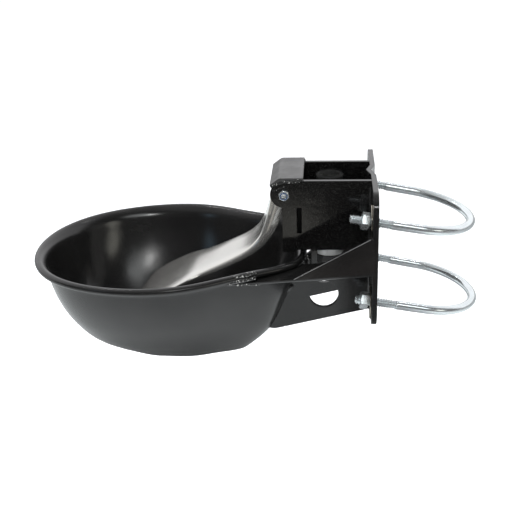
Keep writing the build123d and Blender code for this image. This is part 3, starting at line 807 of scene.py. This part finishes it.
collar = ring("hinge_nut_collar", o, (0, -1, 0), [(3.5, 3.6), (3.9, 3.7), (3.95, 4.6), (3.75, 5.0), (3.5, 5.1), (3.35, 5.0), (3.35, 3.6)], M_ZNUT)
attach(collar, "bracket")
blue = ring("hinge_nut_ring_skin", o, (0, -1, 0), [(2.5, 3.6), (3.35, 3.6), (3.4, 4.75), (3.05, 4.9), (2.55, 4.8)], M_BLUE)
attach(blue, "bracket")
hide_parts("hinge_nut_ring")

ys = np.linspace(32.0, -35.3, 420)
path = np.array([V3(hx, y, hz) for y in ys])
rad = np.full(len(ys), 0.0025)
rad -= np.clip(1 - (ys + 35.3), 0, 1) * 0.0006
shank = tube("hinge_bolt_shank", path, rad, M_ZNUT, 24, lambda i, th, s: -0.0003 * (0.5 - 0.5 * math.cos(2 * math.pi * (ys[i] / 0.8 + th / (2 * math.pi)))) * (1.0 if ys[i] < -27 else 0.0))
head = hex_nut("hinge_bolt_head", V3(hx, 29.0, hz), (0, 1, 0), (1, 0, 0), 8.0, 3.5, 0.8, M_ZNUT, bottom_cone=False)
for ob in (shank, head):
    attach(ob, "bracket")
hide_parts("hinge_bolt")


# valve spring: a fixed coil of wire, baked into world space
th_ = np.linspace(0, 2 * math.pi * 5.0, 301)
coil = [V3(-43.7 + 17.6 * t / th_[-1], 4.4 * math.cos(t), 77.0 + 4.4 * math.sin(t)) for t in th_]
spring = tube("valve_spring_skin", coil, 0.0005, M_STEEL, 10)
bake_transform(spring)
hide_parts("valve_spring")


# ---------------------------------------------------------------------------
# weld beads and spatter
# ---------------------------------------------------------------------------
def weld(name, pts, r, seed=0, pitch=2.2, mat=None, squash=0.75):
    """Hand-laid weld bead: overlapping ripples along a line, uneven width."""
    rng = np.random.RandomState(seed)
    pts = np.array([V3(*p) for p in pts])
    length = float(np.sum(np.linalg.norm(np.diff(pts, axis=0), axis=1))) * 1000
    n = max(int(length / 0.35), 12)
    path = curve3(pts, n) if len(pts) > 2 else np.array([pts[0] + (pts[1] - pts[0]) * t for t in np.linspace(0, 1, n)])
    s = np.linspace(0, length, n)
    wob = sum(rng.uniform(0.4, 1) * np.sin(s / rng.uniform(2.5, 9) + rng.uniform(0, 6)) for _ in range(4)) / 4
    rad = r * (1 + 0.16 * wob)
    end = np.clip(np.minimum(s, length - s) / (r * 1.1), 0, 1)
    rad = rad * np.sqrt(np.clip(1 - (1 - end) ** 2, 0.02, 1)) / 1000.0
    ph = s / pitch + 0.25 * wob

    def rip(i, th, si):
        f = (ph[i] + 0.12 * math.cos(th)) % 1.0
        return rad[i] * (0.16 * (1 - f) ** 2 - 0.08 + 0.05 * math.sin(3 * th + ph[i]))

    ob = tube(name, path, rad, mat or M_WELD, 14, rip)
    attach(ob, "bracket")
    return ob


for sy, sn in ((-1, "right"), (1, "left")):
    # cap plate to side plate
    weld(f"weld_cap_{sn}", [(-84.6, sy * 28.8, 111.4), (-80.0, sy * 29.3, 113.9), (-75.5, sy * 29.5, 115.6), (-68, sy * 29.6, 116.0), (-59.5, sy * 29.4, 116.4)], 1.5, 3 + sy, 1.7, mat=M_SPAT)
    weld(f"weld_cap_run_{sn}", [(-83.4, sy * 28.9, 107.6), (-77.5, sy * 29.2, 109.8), (-71.5, sy * 29.2, 112.2)], 0.7, 23 + sy, 1.5, mat=M_SPAT)
    weld(f"weld_cap_end_{sn}", [(-65.6, sy * 30.4, 116.4), (-62.4, sy * 30.2, 117.7), (-58.4, sy * 29.6, 117.5), (-56.4, sy * 28.6, 116.2)], 1.25 if sy > 0 else 0.7, 27 + sy, 1.6, mat=M_SPAT)
    # wing flange to the plate's edge
    weld(f"weld_wing_{sn}", [(-0.4, sy * 73.9, 53), (-0.4, sy * 74.0, 66), (-0.4, sy * 73.9, 80)], 1.5, 7 + sy)
    # wing to the bowl's rim
    up = 0.0 if sy < 0 else -4.0
    weld(f"weld_arm_{sn}", [(-119.5, sy * 79.0, 47.2 + up), (-112.0, sy * 77.8, 50.2 + up), (-103.0, sy * 76.0, 51.6 + up), (-94.0, sy * 71.8, 52.2 + up)], 1.9, 31 + sy, 2.6, mat=M_SPAT)
    weld(f"weld_arm_mid_{sn}", [(-119.8, sy * 79.6, 44.8 + up * 0.3), (-112.0, sy * 78.8, 46.8 + up * 0.5), (-103.0, sy * 76.8, 47.8 + up * 0.5), (-95.0, sy * 73.6, 48.4 + up * 0.5)], 2.0, 61 + sy, 2.3, mat=M_SPAT)
    weld(f"weld_arm_low_{sn}", [(-119.0, sy * 77.2, 43.4), (-108.0, sy * 76.4, 43.0), (-92.0, sy * 74.2, 42.6)], 1.1, 33 + sy, 2.0, mat=M_SPAT)
    # side plate to back plate
    weld(f"weld_side_{sn}", [(-0.6, sy * 29.6, 58), (-0.6, sy * 29.6, 84), (-0.6, sy * 29.6, 112)], 1.5, 11 + sy)
    # strut to back plate
    weld(f"weld_strut_{sn}", [(-0.6, sy * 28.7, 2), (-0.6, sy * 28.7, 18), (-0.6, sy * 28.7, 35)], 1.4, 15 + sy)
    # bowl's rear to the casing and the strut's post
    weld(f"weld_rear_{sn}", [(-64.2, sy * 29.8, 43.5), (-62.6, sy * 30.2, 39.5), (-60.8, sy * 30.0, 35.2), (-57.6, sy * 29.4, 33.0)], 1.6, 37 + sy, 1.8, mat=M_SPAT)
    weld(f"weld_post_{sn}", [(-54.6, sy * 28.9, 49.0), (-52.4, sy * 28.8, 45.0), (-54.6, sy * 28.9, 40.0)], 1.3, 41 + sy, 1.7, mat=M_SPAT)
    weld(f"weld_post_run_{sn}", [(-57.6, sy * 28.6, 47.0), (-57.0, sy * 28.8, 42.0), (-58.2, sy * 28.9, 38.0)], 1.1, 43 + sy, 1.5)
    # strut to the bowl's back
    weld(f"weld_bowl_{sn}", [(-66.5, sy * 29.0, 21.0), (-73.5, sy * 29.0, 13.5), (-79.0, sy * 29.0, 4.5), (-85.2, sy * 29.0, -9.0), (-90.2, sy * 28.8, -19.6)], 1.6, 47 + sy, 2.2)
    # painted highlight: a thin light-grey tube along the wing's cut edge, standing for the light the edge catches
    cut_edge_highlight = tube(f"wing_edge_highlight_{sn}", [V3(-64.1 + 62.0 * t, sy * 76.5, 47.75 + 34.95 * t) for t in np.linspace(0, 1, 24)], 0.00034, M_CUT_EDGE_HIGHLIGHT, 12)
    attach(cut_edge_highlight, "bracket")
# spatter on the casing's near side and on the fitting
srng = np.random.RandomState(5)
for k in range(16):
    cx_, cz_ = srng.uniform(-40, -22), srng.uniform(47.5, 53.6)
    rr = srng.uniform(0.5, 1.2)
    if k < 7:
        cx_, cz_, rr = srng.uniform(-60, -12), srng.uniform(64, 106), srng.uniform(0.25, 0.5)
    yy_ = -29.0 if k < 7 else -12.4
    if k >= 7:
        yy_ = -math.sqrt(max(12.4**2 - (cx_ + 35.0) ** 2, 4.0))
    th = np.linspace(0, 1, 7)
    bead = tube(f"spatter_{k}", [V3(cx_ + (t - 0.5) * rr * 2, yy_, cz_ + 0.2 * math.sin(k) * (t - 0.5)) for t in th], [max(rr * math.sin(math.pi * min(max(t, 0.06), 0.94)), 0.05) / 1000 for t in th], M_SIDE if k < 7 else M_NICKEL, 10)
    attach(bead, "bracket")

# ---------------------------------------------------------------------------
# stage: pale floor, pale backdrop, soft lights
# ---------------------------------------------------------------------------
FLOOR_Z = -0.62
TABLE_Y = -0.27
TABLE_L = 1.0
# sine of the elevation, radiance
BACK_L = [(-1.0, 0.9), (-0.3, 0.8), (-0.02, 0.2), (0.06, 0.35), (0.12, 1.0), (0.25, 1.15), (0.33, 1.2), (0.386, 1.05), (0.6, 1.2), (0.85, 0.8), (1.0, 0.5)]
FRONT_L = [
    (-1.0, (0.9, 0.9, 0.9)), (-0.5, (0.05, 0.05, 0.05)), (-0.437, (0.05, 0.05, 0.05)), (-0.427, (0.27, 0.23, 0.21)), (-0.395, (0.27, 0.23, 0.21)), (-0.385, (0.02, 0.02, 0.02)),
    (-0.345, (0.02, 0.02, 0.02)), (-0.325, (0.06, 0.06, 0.055)), (-0.2, (0.08, 0.08, 0.08)), (0.0, (0.12, 0.12, 0.12)), (0.3, (0.06, 0.06, 0.06)),
    (0.8, (0.15, 0.15, 0.15)), (1.0, (0.5, 0.5, 0.5)),
]
# soft boxes: direction, angular radius, radiance
BOXES = [
    ((0.29, -0.70, 0.65), 0.23, (2.6, 2.7, 2.7)),
    ((0.13, -0.80, 0.585), 0.14, (5.0, 5.1, 5.0)),
    ((0.71, -0.64, 0.295), 0.19, (2.3, 2.25, 2.0)),
    ((-0.72, -0.60, 0.36), 0.14, (0.5, 0.75, 0.95)),
    ((-0.057, -0.934, -0.362), 0.060, (0.85, 0.83, 0.76)),
]


def emissive(name, col, strength):
    m = bpy.data.materials.new(name)
    m.use_nodes = True
    b = m.node_tree.nodes["Principled BSDF"]
    b.inputs["Base Color"].default_value = (0.9, 0.9, 0.9, 1)
    b.inputs["Roughness"].default_value = 0.9
    b.inputs["Specular IOR Level"].default_value = 0.0
    b.inputs["Emission Color"].default_value = (*col, 1)
    b.inputs["Emission Strength"].default_value = strength
    return m


def card(name, corners, mat, camera=True, glossy=True, diffuse=True):
    me = bpy.data.meshes.new(name)
    me.from_pydata([tuple(c) for c in corners], [], [(0, 1, 2, 3)])
    ob = bpy.data.objects.new(name, me)
    scene.collection.objects.link(ob)
    me.materials.append(mat)
    ob.visible_camera = camera
    ob.visible_glossy = glossy
    ob.visible_diffuse = diffuse
    ob.visible_shadow = camera
    return ob


floor = card("floor", [(-9, -9, FLOOR_Z), (9, -9, FLOOR_Z), (9, 9, FLOOR_Z), (-9, 9, FLOOR_Z)], emissive("mat_floor", (0.97, 0.98, 1.0), 0.95), glossy=False)


# pale backdrop all round, seen directly only
W_, T_ = 9.0, 9.0
backdrop = emissive("mat_backdrop", (0.97, 0.98, 1.0), 1.05)
for i_, (ax, ay) in enumerate(((-1, 0), (1, 0), (0, -1), (0, 1))):
    ends = [(ax * W_ - ay * W_, ay * W_ - ax * W_), (ax * W_ + ay * W_, ay * W_ + ax * W_)]
    wall = card(f"backdrop_{i_}", [(*ends[0], FLOOR_Z), (*ends[1], FLOOR_Z), (*ends[1], T_), (*ends[0], T_)], backdrop, glossy=False, diffuse=False)
    wall.visible_shadow = False


def stage_mat(name):
    m = bpy.data.materials.new(name)
    m.use_nodes = True
    nt = m.node_tree
    b = nt.nodes["Principled BSDF"]
    b.inputs["Base Color"].default_value = (0, 0, 0, 1)
    b.inputs["Roughness"].default_value = 1.0
    b.inputs["Specular IOR Level"].default_value = 0.0
    b.inputs["Emission Strength"].default_value = 1.0
    m.cycles.emission_sampling = "NONE"
    return m, nt, b


def scaled(nt, col, k):
    v = nt.nodes.new("ShaderNodeVectorMath")
    v.operation = "SCALE"
    v.inputs["Scale"].default_value = k
    nt.links.new(col, v.inputs[0])
    return v.outputs[0]


# white table, seen only in reflections, with painted shadows on it: the bowl's soft shadow, a shadow band of the back
# plate and wing across x≈0, and darker towards +x
m, nt, b = stage_mat("mat_table")
sep = nt.nodes.new("ShaderNodeSeparateXYZ")
nt.links.new(coord(nt), sep.inputs[0])
ex = math_node(nt, "DIVIDE", math_node(nt, "ADD", sep.outputs["X"], 0.182), 0.125)
ey = math_node(nt, "DIVIDE", math_node(nt, "ADD", sep.outputs["Y"], -0.01), 0.105)
rr_ = math_node(nt, "SQRT", math_node(nt, "ADD", math_node(nt, "MULTIPLY", ex, ex), math_node(nt, "MULTIPLY", ey, ey)), 0)
# painted shadow band of the back plate and wing across x≈0
shadow_band_x = math_node(nt, "SUBTRACT", mapr(nt, sep.outputs["X"], -0.034, -0.016, 0.0, 1.0), mapr(nt, sep.outputs["X"], 0.03, 0.09, 0.0, 1.0))
SHADE = [(0.0, 0.10), (0.30, 0.11), (0.45, 0.22), (0.60, 0.50), (0.80, 0.90), (1.05, TABLE_L), (1.6, TABLE_L)]
shade = ramp(nt, mapr(nt, rr_, 0.0, 1.6, 0.0, 1.0), [(p / 1.6, grey((v * 0.955 / 2.5, v / 2.5, v * 1.01 / 2.5))) for p, v in SHADE])
dim = nt.nodes.new("ShaderNodeVectorMath")
dim.operation = "SCALE"
nt.links.new(scaled(nt, shade, 2.5), dim.inputs[0])
# painted shade: the shadow band, times a dimming of the table towards +x
nt.links.new(math_node(nt, "MULTIPLY", mapr(nt, shadow_band_x, 0.0, 1.0, 1.0, 0.22), mapr(nt, sep.outputs["X"], 0.13, 0.24, 1.0, 0.42)), dim.inputs["Scale"])
nt.links.new(dim.outputs[0], b.inputs["Emission Color"])
card("table", [(-1.3, TABLE_Y, -0.104), (1.3, TABLE_Y, -0.104), (1.3, 1.2, -0.104), (-1.3, 1.2, -0.104)], m, camera=False, diffuse=False)

# studio walls, seen only in reflections: dark in front, bright above and behind
m, nt, b = stage_mat("mat_studio")
nrm = nt.nodes.new("ShaderNodeVectorMath")
nrm.operation = "NORMALIZE"
nt.links.new(coord(nt), nrm.inputs[0])
sep = nt.nodes.new("ShaderNodeSeparateXYZ")
nt.links.new(nrm.outputs[0], sep.inputs[0])
back = ramp(nt, mapr(nt, sep.outputs["Z"], -1.0, 1.0, 0.0, 1.0), [((z + 1) / 2, grey((v / 3.0, v / 3.0, v / 2.95))) for z, v in BACK_L])
tilt_z = math_node(nt, "SUBTRACT", sep.outputs["Z"], math_node(nt, "MULTIPLY", sep.outputs["X"], 0.5))
front = ramp(nt, mapr(nt, tilt_z, -1.0, 1.0, 0.0, 1.0), [((z + 1) / 2, grey(tuple(c / 3.0 for c in v))) for z, v in FRONT_L])
mixed = mix_col(nt, mapr(nt, sep.outputs["Y"], -0.15, 0.15, 0.0, 1.0), front, back)
total = scaled(nt, mixed, 3.0)
for at, size_, col in BOXES:
    at = Vector(at).normalized()
    dd = nt.nodes.new("ShaderNodeVectorMath")
    dd.operation = "DISTANCE"
    nt.links.new(nrm.outputs[0], dd.inputs[0])
    dd.inputs[1].default_value = at
    soft = nt.nodes.new("ShaderNodeMapRange")
    soft.interpolation_type = "SMOOTHSTEP"
    for k_, v_ in (("From Min", 0.35 * size_), ("From Max", size_), ("To Min", 1.0), ("To Max", 0.0)):
        soft.inputs[k_].default_value = v_
    nt.links.new(dd.outputs["Value"], soft.inputs["Value"])
    rgb = nt.nodes.new("ShaderNodeRGB")
    rgb.outputs[0].default_value = (*col, 1)
    vs_ = nt.nodes.new("ShaderNodeVectorMath")
    vs_.operation = "SCALE"
    nt.links.new(rgb.outputs[0], vs_.inputs[0])
    nt.links.new(soft.outputs["Result"], vs_.inputs["Scale"])
    ad = nt.nodes.new("ShaderNodeVectorMath")
    ad.operation = "ADD"
    nt.links.new(total, ad.inputs[0])
    nt.links.new(vs_.outputs[0], ad.inputs[1])
    total = ad.outputs[0]
nt.links.new(total, b.inputs["Emission Color"])
dv, df = [], []
for i in range(1, 32):
    a_ = math.pi * i / 32
    for j in range(64):
        c_ = 2 * math.pi * j / 64
        dv.append((4 * math.sin(a_) * math.cos(c_), 4 * math.sin(a_) * math.sin(c_), 4 * math.cos(a_)))
df = grid_faces(31, 64)
dv += [(0, 0, 4), (0, 0, -4)]
for j in range(64):
    k = (j + 1) % 64
    df.append((31 * 64, k, j))
    df.append((31 * 64 + 1, 30 * 64 + j, 30 * 64 + k))
dme = bpy.data.meshes.new("studio")
dme.from_pydata(dv, [], df)
dome = bpy.data.objects.new("studio", dme)
scene.collection.objects.link(dome)
dme.materials.append(m)
dome.visible_camera = False
dome.visible_diffuse = False
dome.visible_shadow = False


def area(name, loc, target, size, size_y, power, spread=180, glossy=True):
    l = bpy.data.lights.new(name, "AREA")
    l.shape = "RECTANGLE"
    l.size, l.size_y = size, size_y
    l.energy = power
    l.spread = math.radians(spread)
    ob = bpy.data.objects.new(name, l)
    scene.collection.objects.link(ob)
    ob.location = loc
    d = Vector(target) - Vector(loc)
    ob.rotation_euler = d.to_track_quat("-Z", "Y").to_euler()
    ob.visible_camera = False
    ob.visible_glossy = glossy
    return ob


area("key_top", (-0.2, 0.5, 1.7), (-0.1, 0, 0), 0.9, 0.9, 26, glossy=False)
area("fill_left", (-1.6, -0.3, 0.9), (-0.15, 0, 0), 0.5, 0.5, 8, glossy=False)
area("fill_right", (1.6, -0.4, 0.9), (0, 0, 0), 0.8, 0.8, 8, glossy=False)
area("front_fill", (-0.1, -1.3, 0.5), (-0.05, 0, 0), 0.8, 0.5, 7, glossy=False)
area("lamp_a", (0.06, -1.22, 0.92), (-0.1, 0, 0), 0.08, 0.08, 0.5)
area("lamp_b", (-0.75, 0.6, 1.3), (-0.1, 0, 0), 0.08, 0.08, 0.5)
area("lamp_c", (0.5, 0.5, 1.4), (-0.1, 0, 0), 0.08, 0.08, 0.5)

w = bpy.data.worlds.new("world")
scene.world = w
w.use_nodes = True
bg = w.node_tree.nodes["Background"]
bg.inputs["Color"].default_value = (0.97, 0.98, 1.0, 1)
bg.inputs["Strength"].default_value = 0.12

scene.view_settings.view_transform = "Standard"
scene.view_settings.look = "None"

# ---------------------------------------------------------------------------
# camera at the photograph's viewing angle
# ---------------------------------------------------------------------------
phi, el, rho = math.radians(4.67), math.radians(22.73), math.radians(-1.73)
r = Vector((math.cos(phi), math.sin(phi), 0))
fw = Vector((-math.sin(phi) * math.cos(el), math.cos(phi) * math.cos(el), -math.sin(el)))
u = r.cross(fw)
r2 = math.cos(rho) * r + math.sin(rho) * u
u2 = -math.sin(rho) * r + math.cos(rho) * u
cam_data = bpy.data.cameras.new("camera")
cam = bpy.data.objects.new("camera", cam_data)
scene.collection.objects.link(cam)
cam_data.sensor_width = 36.0
cam_data.sensor_fit = "HORIZONTAL"
cam_data.lens = 68.48
cam_data.clip_start = 0.01
cam_data.clip_end = 100
eye = P(-36.12, -800.24, 373.77)
m = Matrix.Identity(4)
for i, v in enumerate((r2, u2, -fw)):
    for k in range(3):
        m[k][i] = v[k]
m.translation = eye
cam.matrix_world = m
scene.camera = cam
